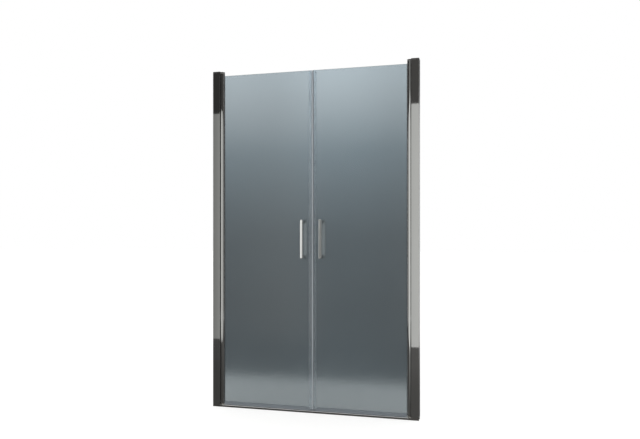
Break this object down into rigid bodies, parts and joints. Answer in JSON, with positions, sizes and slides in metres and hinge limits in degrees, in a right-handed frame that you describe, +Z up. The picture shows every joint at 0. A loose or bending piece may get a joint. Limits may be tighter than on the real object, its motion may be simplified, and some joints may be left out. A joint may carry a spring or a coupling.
{
  "type": "hinged shower door",
  "caption": "Recess shower door with a pair of frosted glass leaves that swing both ways on pivots beside bright wall profiles, with bar handles, magnetic meeting seals and a low threshold.",
  "frame": {"origin": "on the floor, in the middle of the doorway and in the middle plane of the closed glass", "axes": "+X to the right seen from outside, +Y into the shower, +Z up"},
  "size_m": [1.2, 0.092, 1.95],
  "materials": {
    "bright_aluminium": "polished, chrome look",
    "channel_aluminium": "satin mill",
    "threshold_aluminium": "polished, chrome look",
    "chromed_zinc": "polished",
    "chromed_handle": "polished",
    "steel": "turned",
    "frosted_glass": "satin etched faces, ground edges",
    "clear_pvc": "clear",
    "gasket_rubber": "matt",
    "magnet_strip": "matt",
    "nylon": "moulded",
    "cap_plastic": "moulded"
  },
  "bodies": {
    "frame": {"threshold": "threshold_aluminium", "left_wall_channel": "channel_aluminium", "left_jamb": "bright_aluminium", "left_jamb_seal": "clear_pvc", "left_lock_screws": "steel", "left_screw_caps": "cap_plastic", "left_foot": "chromed_zinc", "left_foot_screws": "steel", "left_bottom_pin": "steel", "left_head_bracket": "chromed_zinc", "left_head_screws": "steel", "left_top_pin": "steel", "left_top_cap": "chromed_zinc", "right_wall_channel": "channel_aluminium", "right_jamb": "bright_aluminium", "right_jamb_seal": "clear_pvc", "right_lock_screws": "steel", "right_screw_caps": "cap_plastic", "right_foot": "chromed_zinc", "right_foot_screws": "steel", "right_bottom_pin": "steel", "right_head_bracket": "chromed_zinc", "right_head_screws": "steel", "right_top_pin": "steel", "right_top_cap": "chromed_zinc"},
    "left_leaf": {"left_glass": "frosted_glass", "left_stile": "bright_aluminium", "left_glazing_gasket": "gasket_rubber", "left_slot_filler": "clear_pvc", "left_top_bush": "nylon", "left_bottom_bush": "nylon", "left_meeting_seal": "clear_pvc", "left_magnet": "magnet_strip", "left_bottom_seal": "clear_pvc", "left_outer_handle_bar": "chromed_handle", "left_inner_handle_bar": "chromed_handle", "left_outer_handle_posts": "chromed_handle", "left_inner_handle_posts": "chromed_handle", "left_grub_screws": "steel", "left_handle_studs": "steel", "left_handle_washers": "clear_pvc"},
    "right_leaf": {"right_glass": "frosted_glass", "right_stile": "bright_aluminium", "right_glazing_gasket": "gasket_rubber", "right_slot_filler": "clear_pvc", "right_top_bush": "nylon", "right_bottom_bush": "nylon", "right_meeting_seal": "clear_pvc", "right_magnet": "magnet_strip", "right_bottom_seal": "clear_pvc", "right_outer_handle_bar": "chromed_handle", "right_inner_handle_bar": "chromed_handle", "right_outer_handle_posts": "chromed_handle", "right_inner_handle_posts": "chromed_handle", "right_grub_screws": "steel", "right_handle_studs": "steel", "right_handle_washers": "clear_pvc"}
  },
  "joints": [
    {"name": "left_leaf_hinge", "type": "hinge", "parent": "frame", "child": "left_leaf", "pos_m": [-0.5455, 0, 0], "axis": [0, 0, -1], "range_deg": [-90, 90]},
    {"name": "right_leaf_hinge", "type": "hinge", "parent": "frame", "child": "right_leaf", "pos_m": [0.5455, 0, 0], "axis": [0, 0, 1], "range_deg": [-90, 90]}
  ]
}
